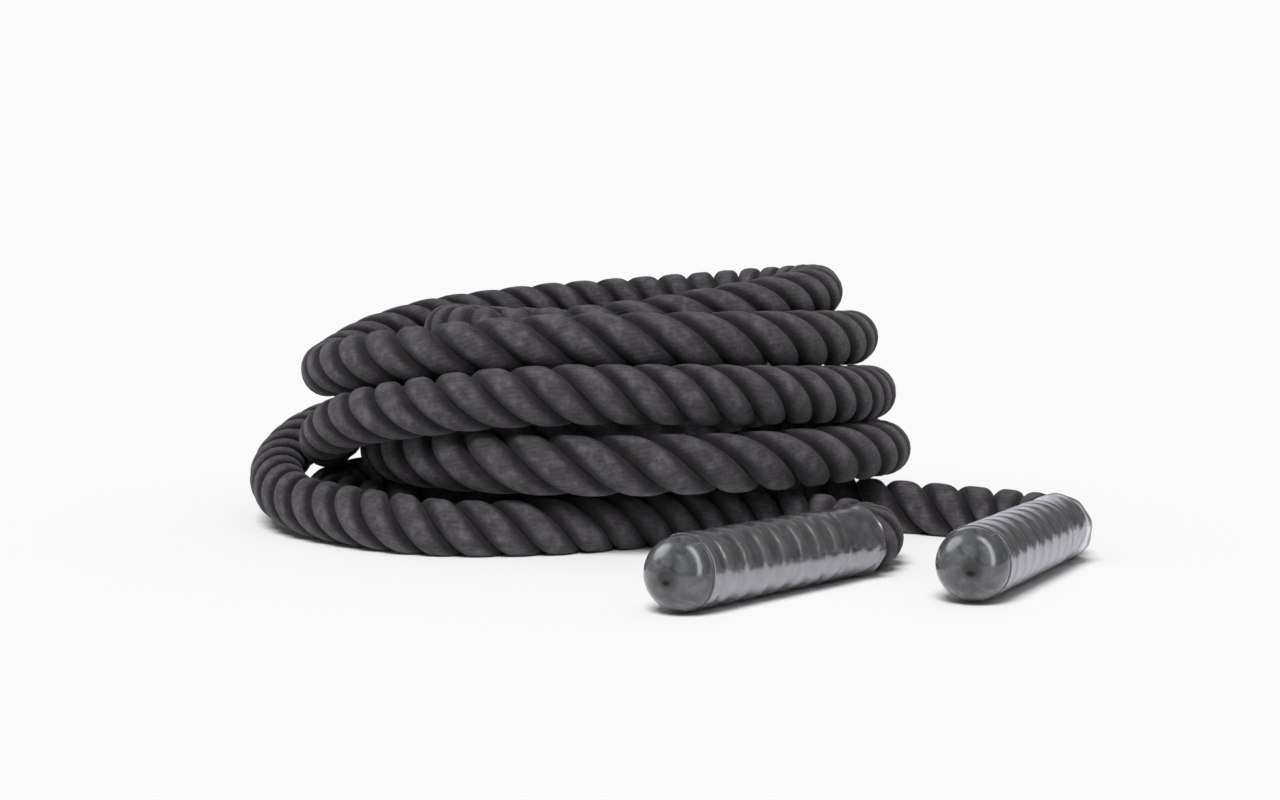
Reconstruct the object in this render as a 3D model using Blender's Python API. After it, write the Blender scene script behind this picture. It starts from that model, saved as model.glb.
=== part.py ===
"""Battle rope: one thick rope lying in a loose pile of turns, with a moulded grip on each end.

Metres, +Z up, the floor at z = 0. The origin is on the floor, in the middle of the whole object.
Both ends of the rope leave the pile at the front right, and each runs into a grip: a ribbed rubber
sleeve with a domed cap, glued over the rope's taped end and covered by a clear film.
"""
import math

import bmesh
import bpy
import numpy as np
from mathutils import Vector

# The rope
ROPE_DIAMETER = 0.038
ROPE_RADIUS = ROPE_DIAMETER / 2
# Where the rope lies on the floor it is pressed flat, a tenth of its diameter deep.
FLOOR_CUT_SHARE = 0.10
FLOOR_HEIGHT = ROPE_RADIUS - FLOOR_CUT_SHARE * ROPE_DIAMETER
# The gap left between two pieces that touch.
PIECE_GAP = 0.0003

# The pile: its middle as seen from the object's origin, in diameters, and its turns.
PILE_CENTRE_SHARES = (-1.137, 2.416)
LOOP_POINTS = 24
# The turns run clockwise seen from above, and quarter turns are counted from the front.
FIRST_QUARTER = 2 / 3
LAST_QUARTER = 35
# Quarter turns, then the rope's reach from the middle and its height, in diameters.
COIL_STATION_SHARES = [
    (0.00, 5.00, 0.40), (0.60, 5.52, 0.52), (1.00, 5.66, 0.98), (1.30, 5.66, 1.52),
    (1.70, 5.50, 1.72), (2.00, 5.36, 1.66), (2.50, 5.58, 1.34), (3.00, 5.70, 1.28),
    (3.25, 5.64, 1.46), (4.00, 5.15, 1.50), (4.50, 4.17, 1.44), (5.00, 3.52, 1.42),
    (6.00, 4.20, 1.80), (6.50, 4.74, 2.08), (7.00, 5.40, 2.34), (8.00, 5.12, 2.65),
    (8.50, 4.96, 2.18), (9.00, 4.69, 1.44), (9.50, 4.74, 2.38), (10.00, 5.00, 2.80),
    (11.00, 5.10, 3.36), (12.00, 4.40, 3.45), (12.50, 4.52, 3.14), (13.00, 4.72, 2.79),
    (13.50, 4.78, 3.46), (14.00, 4.78, 3.86), (15.00, 4.44, 4.22), (16.00, 3.06, 3.54),
    (17.00, 2.40, 3.49), (18.00, 2.38, 3.30), (19.00, 2.62, 3.14), (20.00, 2.34, 2.66),
    (21.00, 2.42, 2.40), (22.00, 3.30, 2.62), (23.00, 3.95, 2.54), (24.00, 3.76, 2.08),
    (25.00, 2.38, 1.30), (26.00, 2.30, 1.19), (27.00, 2.18, 0.84), (28.00, 2.06, 0.41),
    (29.00, 3.10, 0.41), (30.00, 3.22, 0.41), (31.00, 3.17, 0.41), (32.00, 3.17, 0.41),
    (33.00, 4.70, 0.41), (34.00, 4.34, 0.40), (35.00, 4.42, 0.40),
]

# The free stretches, from each grip's mouth to the pile. As for all places below, x, y and the rise
# over a rope that lies flat are in diameters, from the middle of the pile.
TAIL_A_ROUTE_SHARES = [
    (4.645, -6.618, 0.105), (4.829, -5.934, 0.053), (4.789, -5.224, 0.013), (4.539, -4.566, 0.0),
    (4.092, -4.013, 0.0), (3.500, -3.645, 0.0), (2.816, -3.474, 0.0), (2.105, -3.539, 0.0),
]
TAIL_B_ROUTE_SHARES = [
    (7.903, -5.255, 0.105), (7.916, -4.547, 0.053), (7.716, -3.882, 0.013), (7.321, -3.295, 0.0),
]
# Where each free stretch meets the pile, and its direction there, towards the pile.
JOIN_A_SHARES = (1.263, -3.921)
JOIN_B_SHARES = (6.579, -2.684)
JOIN_A_HEADING = math.radians(209)
JOIN_B_HEADING = math.radians(146)
# From the join the rope runs straight for a little more than one diameter.
STRAIGHT_SHARE = 1.05
STRAIGHT_SPARE_SHARE = 0.26
# The pile's first and last points beside its turns.
PILE_LEAD_A_SHARES = [(-0.684, -4.842, 0.0), (-1.895, -4.908, 0.0), (-3.079, -4.500, 0.092)]
PILE_LEAD_B_SHARES = [(4.645, -0.803, 0.0), (5.000, -1.474, 0.0)]
# A free stretch has a point every 0.6 diameters, because its bends are only two diameters wide.
TAIL_STEP_SHARE = 0.6
CURVE_STEPS = 12
COIL_SIDES_RESOLUTION = 1
TAIL_SIDES_RESOLUTION = 4

# The grips: where each mouth is, and the direction from dome to mouth.
MOUTH_A_SHARES = (3.817, -7.735)
MOUTH_B_SHARES = (7.376, -6.507)
GRIP_A_HEADING = math.radians(49)
GRIP_B_HEADING = math.radians(62)
GRIP_SIDES = 24
# Lengths along the grip, from the middle of the dome.
GRIP_LENGTH = 0.122
CAP_RIM = 0.004
SPIGOT_LENGTH = 0.012
WHIPPING_LENGTH = 0.025
# Past the mouth the rope stays on the grip's axis for this far.
MOUTH_STRAIGHT = 0.026
# The rope's end, pressed together inside the grip, and the tape and the glue round it.
ROPE_END_SHARE = 0.895
ROPE_END_RADIUS = ROPE_END_SHARE * ROPE_RADIUS
LINER_WALL = 0.0007
LINER_INNER_RADIUS = ROPE_END_RADIUS + PIECE_GAP
LINER_OUTER_RADIUS = LINER_INNER_RADIUS + LINER_WALL
# The rubber sleeve over them: its wall between the ribs, and the ribs.
SLEEVE_BORE_RADIUS = LINER_OUTER_RADIUS + PIECE_GAP
SLEEVE_WALL = 0.0009
GROOVE_RADIUS = SLEEVE_BORE_RADIUS + SLEEVE_WALL
RIB_HEIGHT = 0.0011
RIB_RADIUS = GROOVE_RADIUS + RIB_HEIGHT
RIB_COUNT = 7
# Beside the cap the sleeve has a plain collar, and one pitch of a rib begins at its end.
COLLAR_LENGTH = 0.004
# One rib's outline along its pitch: where, and how much of the rib's height.
RIB_OUTLINE_SHARES = [(0.24, 0.0), (0.36, 0.8), (0.45, 1.0), (0.55, 1.0), (0.64, 0.8), (0.76, 0.0)]
# The film that covers the grip, and its loose end past the mouth.
COVER_WALL = 0.0004
COVER_RADIUS = RIB_RADIUS + PIECE_GAP + COVER_WALL
COVER_START = 0.002
SKIRT_LENGTH = 0.036
# There it narrows to the rope with this much slack, and opens again sideways at its rim.
SKIRT_SLACK = 0.0008
SKIRT_RADIUS = ROPE_RADIUS + SKIRT_SLACK + COVER_WALL
SKIRT_FLARE = 0.0018
# How far along the skirt each ring is, how much of the flare it has, and how far down it settles
# again towards the floor.
SKIRT_RING_SHARES = [(0.1, 0.0, 0.0), (0.55, 0.15, 0.2), (1.0, 1.0, 1.0)]
# The cap's spigot.
SPIGOT_RADIUS = SLEEVE_BORE_RADIUS - PIECE_GAP
SPIGOT_END = CAP_RIM + SPIGOT_LENGTH
DOME_STEPS = 6

# A cutter reaches this far past what it cuts.
CUT_OVERRUN = 0.020
CUTTER_HALF_WIDTH = 0.5

ROPE_COLOUR = (0.055, 0.053, 0.058)
RUBBER_COLOUR = (0.060, 0.060, 0.062)
CAP_COLOUR = (0.12, 0.12, 0.125)
TAPE_COLOUR = (0.03, 0.03, 0.03)
GLUE_COLOUR = (0.62, 0.55, 0.38)
FILM_COLOUR = (0.80, 0.80, 0.82)


def clear_scene():
    for item in list(bpy.data.objects):
        bpy.data.objects.remove(item, do_unlink=True)


def material(name, colour, roughness, alpha=1.0):
    finish = bpy.data.materials.new(name)
    finish.use_nodes = True
    shader = finish.node_tree.nodes["Principled BSDF"]
    shader.inputs["Base Color"].default_value = (*colour, 1)
    shader.inputs["Roughness"].default_value = roughness
    shader.inputs["Metallic"].default_value = 0
    shader.inputs["Alpha"].default_value = alpha
    return finish


def link(name, mesh, finish, frame):
    """Make the sub-part's object, with its one material, under the frame that places it."""
    piece = bpy.data.objects.new(name, mesh)
    mesh.materials.clear()
    mesh.materials.append(finish)
    bpy.context.collection.objects.link(piece)
    piece.parent = frame
    return piece


# The rope's route


def station_value(quarter, column):
    """Smooth curve through the stations: a cubic with its slopes taken from the neighbours."""
    table = COIL_STATION_SHARES
    last_span = len(table) - 2
    index = 0
    while index < last_span and table[index + 1][0] <= quarter:
        index += 1
    before = table[max(index - 1, 0)]
    here = table[index]
    there = table[index + 1]
    after = table[min(index + 2, last_span + 1)]
    span = there[0] - here[0]
    t = (quarter - here[0]) / span
    slope_here = (there[column] - before[column]) / (there[0] - before[0]) * span
    slope_there = (after[column] - here[column]) / (after[0] - here[0]) * span
    value = (2 * t ** 3 - 3 * t ** 2 + 1) * here[column]
    value += (t ** 3 - 2 * t ** 2 + t) * slope_here
    value += (3 * t ** 2 - 2 * t ** 3) * there[column]
    value += (t ** 3 - t ** 2) * slope_there
    return value


def coil_point(quarter):
    reach = station_value(quarter, 1) * ROPE_DIAMETER
    height = station_value(quarter, 2) * ROPE_DIAMETER
    angle = quarter * math.pi / 2
    return Vector((-reach * math.sin(angle), -reach * math.cos(angle), height))


def coil_turns():
    """The turns of the pile, with the same number of points in every loop."""
    step = 4 / LOOP_POINTS
    count = round((LAST_QUARTER - FIRST_QUARTER) / step)
    return [coil_point(FIRST_QUARTER + step * index) for index in range(count + 1)]


def floor_points(route_shares):
    points = []
    for x, y, rise in route_shares:
        points.append(Vector((x, y, rise)) * ROPE_DIAMETER + Vector((0, 0, FLOOR_HEIGHT)))
    return points


def along(place_shares, heading, distance, height):
    """The point at a distance from a place, in the heading's direction."""
    x = place_shares[0] * ROPE_DIAMETER + distance * math.cos(heading)
    y = place_shares[1] * ROPE_DIAMETER + distance * math.sin(heading)
    return Vector((x, y, height))


def join_points(place_shares, heading):
    """Four points in line: short of the join, the join, a diameter on, and a little past that."""
    run = STRAIGHT_SHARE * ROPE_DIAMETER
    spare = STRAIGHT_SPARE_SHARE * ROPE_DIAMETER
    distances = (-spare, 0, run, run + spare)
    return [along(place_shares, heading, distance, FLOOR_HEIGHT) for distance in distances]


def mouth_points(place_shares, heading):
    """Three points on the grip's axis: inside it, at its mouth, and where the rope may bend."""
    distances = (-MOUTH_STRAIGHT, 0, MOUTH_STRAIGHT)
    return [along(place_shares, heading, distance, COVER_RADIUS) for distance in distances]


def smooth_curve(points):
    """Centripetal Catmull-Rom curve, CURVE_STEPS points for each span between two of its points."""
    ends = [2 * points[0] - points[1]] + points + [2 * points[-1] - points[-2]]
    curve = []
    for p0, p1, p2, p3 in zip(ends, ends[1:], ends[2:], ends[3:]):
        t1 = math.sqrt((p1 - p0).length)
        t2 = t1 + math.sqrt((p2 - p1).length)
        t3 = t2 + math.sqrt((p3 - p2).length)
        for step in range(CURVE_STEPS):
            t = t1 + (t2 - t1) * step / CURVE_STEPS
            a1 = p0 * ((t1 - t) / t1) + p1 * (t / t1)
            a2 = p1 * ((t2 - t) / (t2 - t1)) + p2 * ((t - t1) / (t2 - t1))
            a3 = p2 * ((t3 - t) / (t3 - t2)) + p3 * ((t - t2) / (t3 - t2))
            b1 = a1 * ((t2 - t) / t2) + a2 * (t / t2)
            b2 = a2 * ((t3 - t) / (t3 - t1)) + a3 * ((t - t1) / (t3 - t1))
            curve.append(b1 * ((t2 - t) / (t2 - t1)) + b2 * ((t - t1) / (t2 - t1)))
    curve.append(points[-1])
    return curve


def even_points(curve, step):
    """Points at even distances along the curve, about one step apart, with both its ends."""
    places = np.array(curve)
    lengths = np.linalg.norm(np.diff(places, axis=0), axis=1)
    travelled = np.concatenate([[0], np.cumsum(lengths)])
    count = max(round(travelled[-1] / step), 1)
    wanted = np.linspace(0, travelled[-1], count + 1)
    columns = [np.interp(wanted, travelled, places[:, axis]) for axis in range(3)]
    return [Vector(values) for values in zip(*columns)]


def tail_points(mouth, route_shares, join):
    """A free stretch's tube: from just outside the mouth to the join, on the smooth route."""
    control = mouth + floor_points(route_shares) + join
    curve = smooth_curve(control)
    first = CURVE_STEPS * 2
    last = CURVE_STEPS * (len(control) - len(join))
    start = mouth[1] + (mouth[2] - mouth[1]).normalized() * PIECE_GAP
    bends = even_points(curve[first:last + 1], TAIL_STEP_SHARE * ROPE_DIAMETER)
    return [start] + bends + [join[1]]


def coil_points(join_a, join_b):
    """The pile's tube: straight ends, the points beside the turns, and the turns."""
    start = join_a[1] + (join_a[2] - join_a[1]).normalized() * PIECE_GAP
    end = join_b[1] + (join_b[2] - join_b[1]).normalized() * PIECE_GAP
    points = [start, join_a[2]]
    points += floor_points(PILE_LEAD_A_SHARES)
    points += coil_turns()
    points += floor_points(PILE_LEAD_B_SHARES)
    points += [join_b[2], end]
    return points


def print_least_gap(points):
    """Print the smallest gap of the tube to itself, from points spread closely along it."""
    places = np.array(even_points(points, ROPE_RADIUS / 4))
    steps = np.linalg.norm(np.diff(places, axis=0), axis=1)
    travelled = np.concatenate([[0], np.cumsum(steps)])
    least = math.inf
    for index, place in enumerate(places):
        far = travelled > travelled[index] + 3 * ROPE_DIAMETER
        if far.any():
            nearest = np.linalg.norm(places[far] - place, axis=1).min()
            least = min(least, nearest)
    print("rope_coil: length %.3f m, least gap to itself %.2f mm"
          % (travelled[-1], (least - ROPE_DIAMETER) * 1000))


# The rope's solids


def rope_tube(name, points, sides_resolution, finish, frame):
    """A tube with capped ends along the points, as a mesh that a Boolean can cut."""
    curve = bpy.data.curves.new(name + "_route", "CURVE")
    curve.dimensions = "3D"
    curve.twist_mode = "Z_UP"
    curve.bevel_depth = ROPE_RADIUS
    curve.bevel_resolution = sides_resolution
    curve.use_fill_caps = True
    spline = curve.splines.new("POLY")
    spline.points.add(len(points) - 1)
    for point, place in zip(spline.points, points):
        point.co = (*place, 1)
    route = bpy.data.objects.new(name + "_route", curve)
    mesh = bpy.data.meshes.new_from_object(route)
    mesh.name = name
    bpy.data.objects.remove(route)
    mesh.shade_smooth()
    mesh.set_sharp_from_angle(angle=math.radians(70))
    return link(name, mesh, finish, frame)


def floor_cutter(frame):
    """A block under the floor: what it takes off leaves the rope flat where it lies."""
    mesh = bpy.data.meshes.new("floor_cutter")
    form = bmesh.new()
    bmesh.ops.create_cube(form, size=1)
    form.to_mesh(mesh)
    form.free()
    cutter = bpy.data.objects.new("floor_cutter", mesh)
    bpy.context.collection.objects.link(cutter)
    cutter.parent = frame
    cutter.scale = (2 * CUTTER_HALF_WIDTH, 2 * CUTTER_HALF_WIDTH, CUT_OVERRUN)
    cutter.location = (0, 0, -CUT_OVERRUN / 2)
    cutter.hide_render = True
    cutter.display_type = "WIRE"
    return cutter


def lay_on_floor(piece, cutter):
    cut = piece.modifiers.new("floor_flat", "BOOLEAN")
    cut.operation = "DIFFERENCE"
    cut.solver = "EXACT"
    cut.object = cutter


# The grips' solids: each lies along +X with the middle of the dome at its origin


def turned_mesh(name, outline, closed):
    """Turn an outline of (along, radius) about X. A closed outline is a ring, an open one has poles."""
    mesh = bpy.data.meshes.new(name)
    form = bmesh.new()
    rings = []
    for distance, radius in outline:
        if radius == 0:
            rings.append([form.verts.new((distance, 0, 0))])
            continue
        ring = []
        for side in range(GRIP_SIDES):
            angle = 2 * math.pi * side / GRIP_SIDES
            ring.append(form.verts.new((distance, radius * math.cos(angle), radius * math.sin(angle))))
        rings.append(ring)
    pairs = list(zip(rings, rings[1:]))
    if closed:
        pairs.append((rings[-1], rings[0]))
    for near, far in pairs:
        for side in range(GRIP_SIDES):
            other = (side + 1) % GRIP_SIDES
            corners = [near[side % len(near)], near[other % len(near)]]
            corners += [far[other % len(far)], far[side % len(far)]]
            face = list(dict.fromkeys(corners))
            if len(face) > 2:
                form.faces.new(face)
    bmesh.ops.recalc_face_normals(form, faces=form.faces)
    form.to_mesh(mesh)
    form.free()
    mesh.shade_smooth()
    mesh.set_sharp_from_angle(angle=math.radians(40))
    return mesh


def end_cap(name, finish, frame):
    """Domed rubber cap, with a spigot that plugs the sleeve's front end."""
    outline = [(-RIB_RADIUS, 0)]
    for step in range(1, DOME_STEPS):
        angle = math.pi / 2 * step / DOME_STEPS
        outline.append((-RIB_RADIUS * math.cos(angle), RIB_RADIUS * math.sin(angle)))
    outline += [(0, RIB_RADIUS), (CAP_RIM, RIB_RADIUS)]
    outline += [(CAP_RIM, SPIGOT_RADIUS), (SPIGOT_END, SPIGOT_RADIUS), (SPIGOT_END, 0)]
    return link(name, turned_mesh(name, outline, False), finish, frame)


def grip_sleeve(name, finish, frame):
    """Moulded rubber tube with raised ribs round it, from the cap to the mouth."""
    start = CAP_RIM + PIECE_GAP
    collar_end = start + COLLAR_LENGTH
    pitch = (GRIP_LENGTH - collar_end) / RIB_COUNT
    outline = [(start, SLEEVE_BORE_RADIUS), (start, RIB_RADIUS)]
    outline += [(collar_end, RIB_RADIUS), (collar_end + RIB_HEIGHT, GROOVE_RADIUS)]
    for rib in range(RIB_COUNT):
        for where_share, height_share in RIB_OUTLINE_SHARES:
            distance = collar_end + pitch * (rib + where_share)
            outline.append((distance, GROOVE_RADIUS + RIB_HEIGHT * height_share))
    outline += [(GRIP_LENGTH, GROOVE_RADIUS), (GRIP_LENGTH, SLEEVE_BORE_RADIUS)]
    return link(name, turned_mesh(name, outline, True), finish, frame)


def plain_ring(name, start, end, inner, outer, finish, frame):
    outline = [(start, inner), (start, outer), (end, outer), (end, inner)]
    return link(name, turned_mesh(name, outline, True), finish, frame)


def rope_end(name, finish, frame):
    """The rope's last stretch, pressed to a smaller diameter inside the grip."""
    start = SPIGOT_END + PIECE_GAP
    outline = [(start, 0), (start, ROPE_END_RADIUS), (GRIP_LENGTH, ROPE_END_RADIUS), (GRIP_LENGTH, 0)]
    return link(name, turned_mesh(name, outline, False), finish, frame)


def clear_cover(name, finish, frame):
    """Clear film sleeve: round on the grip, close on the rope past its mouth, open at its rim."""
    outer = [(distance, COVER_RADIUS, COVER_RADIUS) for distance in (COVER_START, GRIP_LENGTH)]
    for where_share, flare_share, settle_share in SKIRT_RING_SHARES:
        half_width = SKIRT_RADIUS + SKIRT_FLARE * flare_share
        half_height = SKIRT_RADIUS + (COVER_RADIUS - SKIRT_RADIUS) * settle_share
        outer.append((GRIP_LENGTH + SKIRT_LENGTH * where_share, half_width, half_height))
    inner = [(distance, width - COVER_WALL, height - COVER_WALL) for distance, width, height in outer]
    mesh = bpy.data.meshes.new(name)
    form = bmesh.new()
    loops = []
    for distance, half_width, half_height in outer + inner[::-1]:
        loop = []
        for side in range(GRIP_SIDES):
            angle = 2 * math.pi * side / GRIP_SIDES
            across = half_width * math.cos(angle)
            up = half_height * math.sin(angle)
            loop.append(form.verts.new((distance, across, up)))
        loops.append(loop)
    for near, far in zip(loops, loops[1:] + loops[:1]):
        for side in range(GRIP_SIDES):
            other = (side + 1) % GRIP_SIDES
            form.faces.new([near[side], near[other], far[other], far[side]])
    bmesh.ops.recalc_face_normals(form, faces=form.faces)
    form.to_mesh(mesh)
    form.free()
    mesh.shade_smooth()
    mesh.set_sharp_from_angle(angle=math.radians(40))
    return link(name, mesh, finish, frame)


def build_grip(letter, mouth_shares, heading, finishes, pile):
    """All the pieces of one grip, on an empty that lies on its axis, in the middle of its dome."""
    frame = bpy.data.objects.new("grip_frame_" + letter, None)
    bpy.context.collection.objects.link(frame)
    frame.parent = pile
    frame.location = along(mouth_shares, heading, -GRIP_LENGTH, COVER_RADIUS)
    frame.rotation_euler = (0, 0, heading)
    whipping_start = SPIGOT_END + PIECE_GAP
    whipping_end = whipping_start + WHIPPING_LENGTH
    liner_start = whipping_end + PIECE_GAP
    end_cap("end_cap_" + letter, finishes["cap"], frame)
    grip_sleeve("grip_sleeve_" + letter, finishes["rubber"], frame)
    rope_end("rope_end_" + letter, finishes["rope"], frame)
    plain_ring("end_whipping_" + letter, whipping_start, whipping_end,
               LINER_INNER_RADIUS, LINER_OUTER_RADIUS, finishes["tape"], frame)
    plain_ring("glue_liner_" + letter, liner_start, GRIP_LENGTH,
               LINER_INNER_RADIUS, LINER_OUTER_RADIUS, finishes["glue"], frame)
    clear_cover("clear_cover_" + letter, finishes["film"], frame)


def build_rope(finish, pile):
    """The pile and the two free stretches, cut flat where they lie on the floor."""
    join_a = join_points(JOIN_A_SHARES, JOIN_A_HEADING)
    join_b = join_points(JOIN_B_SHARES, JOIN_B_HEADING)
    mouth_a = mouth_points(MOUTH_A_SHARES, GRIP_A_HEADING)
    mouth_b = mouth_points(MOUTH_B_SHARES, GRIP_B_HEADING)
    cutter = floor_cutter(pile)
    pile_route = coil_points(join_a, join_b)
    coil = rope_tube("rope_coil", pile_route, COIL_SIDES_RESOLUTION, finish, pile)
    lay_on_floor(coil, cutter)
    for letter, mouth, route_shares, join in (("a", mouth_a, TAIL_A_ROUTE_SHARES, join_a),
                                              ("b", mouth_b, TAIL_B_ROUTE_SHARES, join_b)):
        points = tail_points(mouth, route_shares, join)
        tail = rope_tube("rope_tail_" + letter, points, TAIL_SIDES_RESOLUTION, finish, pile)
        lay_on_floor(tail, cutter)
    print_least_gap(pile_route)


def main():
    clear_scene()
    finishes = {
        "rope": material("rope", ROPE_COLOUR, 0.85),
        "rubber": material("rubber", RUBBER_COLOUR, 0.55),
        "cap": material("cap", CAP_COLOUR, 0.4),
        "tape": material("tape", TAPE_COLOUR, 0.5),
        "glue": material("glue", GLUE_COLOUR, 0.4),
        "film": material("film", FILM_COLOUR, 0.1, 0.35),
    }
    pile = bpy.data.objects.new("pile_frame", None)
    bpy.context.collection.objects.link(pile)
    pile.location = (PILE_CENTRE_SHARES[0] * ROPE_DIAMETER, PILE_CENTRE_SHARES[1] * ROPE_DIAMETER, 0)
    build_rope(finishes["rope"], pile)
    build_grip("a", MOUTH_A_SHARES, GRIP_A_HEADING, finishes, pile)
    build_grip("b", MOUTH_B_SHARES, GRIP_B_HEADING, finishes, pile)


main()
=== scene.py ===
"""Looks of the battle rope: laid black rope in a pile, with a ribbed, film-covered grip on each end.

Metres, +Z up, the floor at z = 0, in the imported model's frame.
"""
import math

import bmesh
import bpy
import numpy as np
from mathutils import Matrix, Vector


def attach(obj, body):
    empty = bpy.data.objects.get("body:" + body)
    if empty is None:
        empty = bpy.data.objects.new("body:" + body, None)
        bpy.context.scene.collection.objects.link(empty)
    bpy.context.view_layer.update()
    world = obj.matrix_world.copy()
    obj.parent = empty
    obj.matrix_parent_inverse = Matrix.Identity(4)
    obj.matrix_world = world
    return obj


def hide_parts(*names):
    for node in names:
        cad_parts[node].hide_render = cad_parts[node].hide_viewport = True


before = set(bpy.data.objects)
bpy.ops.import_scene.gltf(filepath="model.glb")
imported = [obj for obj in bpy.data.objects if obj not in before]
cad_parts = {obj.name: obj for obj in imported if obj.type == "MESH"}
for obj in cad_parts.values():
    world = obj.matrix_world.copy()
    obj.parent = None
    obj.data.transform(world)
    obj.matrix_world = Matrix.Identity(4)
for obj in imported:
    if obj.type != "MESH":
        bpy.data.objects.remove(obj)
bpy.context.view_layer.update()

# The rope.
# The real one is a 38 mm hawser-laid rope, 9 m long: three strands of black polyester and
# polypropylene yarn, laid up right-handed and hard. It is one unbroken length, coiled by hand, and
# its own weight flattens it where it lies on the floor.
ROPE_DIAMETER = 0.038
ROPE_RADIUS = ROPE_DIAMETER / 2
FLOOR_CUT_SHARE = 0.10
FLOOR_HEIGHT = ROPE_RADIUS - FLOOR_CUT_SHARE * ROPE_DIAMETER
# The middle of the pile. Like the places below, it is in diameters.
PILE_CENTRE_SHARES = (-1.137, 2.416)
PILE_CENTRE = Vector((*PILE_CENTRE_SHARES, 0)) * ROPE_DIAMETER

# The pile's turns run clockwise seen from above, and quarter turns are counted from the front.
LOOP_POINTS = 24
FIRST_QUARTER = 2 / 3
LAST_QUARTER = 35
# Quarter turns, then the rope's reach from the pile's middle and its height.
COIL_STATION_SHARES = [
    (0.00, 5.00, 0.40), (0.60, 5.52, 0.52), (1.00, 5.66, 0.98), (1.30, 5.66, 1.52),
    (1.70, 5.50, 1.72), (2.00, 5.36, 1.66), (2.50, 5.58, 1.34), (3.00, 5.70, 1.28),
    (3.25, 5.64, 1.46), (4.00, 5.15, 1.50), (4.50, 4.17, 1.44), (5.00, 3.52, 1.42),
    (6.00, 4.20, 1.80), (6.50, 4.74, 2.08), (7.00, 5.40, 2.34), (8.00, 5.12, 2.65),
    (8.50, 4.96, 2.18), (9.00, 4.69, 1.44), (9.50, 4.74, 2.38), (10.00, 5.00, 2.80),
    (11.00, 5.10, 3.36), (12.00, 4.40, 3.45), (12.50, 4.52, 3.14), (13.00, 4.72, 2.79),
    (13.50, 4.78, 3.46), (14.00, 4.78, 3.86), (15.00, 4.44, 4.22), (16.00, 3.06, 3.54),
    (17.00, 2.40, 3.49), (18.00, 2.38, 3.30), (19.00, 2.62, 3.14), (20.00, 2.34, 2.66),
    (21.00, 2.42, 2.40), (22.00, 3.30, 2.62), (23.00, 3.95, 2.54), (24.00, 3.76, 2.08),
    (25.00, 2.38, 1.30), (26.00, 2.30, 1.19), (27.00, 2.18, 0.84), (28.00, 2.06, 0.41),
    (29.00, 3.10, 0.41), (30.00, 3.22, 0.41), (31.00, 3.17, 0.41), (32.00, 3.17, 0.41),
    (33.00, 4.70, 0.41), (34.00, 4.34, 0.40), (35.00, 4.42, 0.40),
]
# Places on the floor, from the pile's middle, with the rise over a rope that lies flat.
TAIL_A_ROUTE_SHARES = [
    (4.645, -6.618, 0.105), (4.829, -5.934, 0.053), (4.789, -5.224, 0.013), (4.539, -4.566, 0.0),
    (4.092, -4.013, 0.0), (3.500, -3.645, 0.0), (2.816, -3.474, 0.0), (2.105, -3.539, 0.0),
]
TAIL_B_ROUTE_SHARES = [
    (7.903, -5.255, 0.105), (7.916, -4.547, 0.053), (7.716, -3.882, 0.013), (7.321, -3.295, 0.0),
]
PILE_LEAD_A_SHARES = [(-0.684, -4.842, 0.0), (-1.895, -4.908, 0.0), (-3.079, -4.500, 0.092)]
PILE_LEAD_B_SHARES = [(4.645, -0.803, 0.0), (5.000, -1.474, 0.0)]
# Where each free stretch meets the pile, its direction there, and how far it runs straight.
JOIN_A_SHARES = (1.263, -3.921)
JOIN_B_SHARES = (6.579, -2.684)
JOIN_A_HEADING = math.radians(209)
JOIN_B_HEADING = math.radians(146)
STRAIGHT_SHARE = 1.05
STRAIGHT_SPARE_SHARE = 0.26
# Where each grip's mouth is, the heading from dome to mouth, and how high its axis lies.
MOUTH_SHARES = {"a": (3.817, -7.735), "b": (7.376, -6.507)}
GRIP_HEADINGS = {"a": math.radians(49), "b": math.radians(62)}
GRIP_HEIGHT = 0.02100
# Past the mouth the rope stays on the grip's axis for this far.
MOUTH_STRAIGHT = 0.026
CURVE_STEPS = 12

# Three strands, which laying presses together and flattens to ovals, wider than high. These are half
# an oval's height and width, and its place, in the rope's radius.
STRAND_COUNT = 3
STRAND_HEIGHT_SHARE = 0.46
STRAND_WIDTH_SHARE = 0.65
STRAND_OFFSET_SHARE = 1 - STRAND_HEIGHT_SHARE


def groove_angle():
    """The oval's angle, from its crown, at which it meets the next strand's oval in the groove."""
    toward = math.pi / STRAND_COUNT
    square = (math.cos(toward) / STRAND_HEIGHT_SHARE) ** 2 + (math.sin(toward) / STRAND_WIDTH_SHARE) ** 2
    middle = STRAND_OFFSET_SHARE * math.cos(toward) / STRAND_HEIGHT_SHARE ** 2
    constant = (STRAND_OFFSET_SHARE / STRAND_HEIGHT_SHARE) ** 2 - 1
    reach = (middle + math.sqrt(middle ** 2 - square * constant)) / square
    across = reach * math.sin(toward) / STRAND_WIDTH_SHARE
    return math.atan2(across, (reach * math.cos(toward) - STRAND_OFFSET_SHARE) / STRAND_HEIGHT_SHARE)


HALF_OPEN = groove_angle()
STRAND_ARC_SHARE = HALF_OPEN * (STRAND_HEIGHT_SHARE + STRAND_WIDTH_SHARE) / 2
# In about 2.1 diameters the strands go once round the rope. Coiling by hand twists the rope a little
# open in some turns and shut in others: the distance along it, then the lay, both in diameters.
LAY_STATION_SHARES = [
    (0, 2.00), (10, 1.85), (18, 1.90), (39, 2.45), (47, 2.45), (66, 1.75), (74, 2.05),
    (89, 2.10), (105, 2.45), (121, 1.95), (137, 2.10), (168, 2.00), (195, 2.20), (231, 2.10),
]
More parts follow.
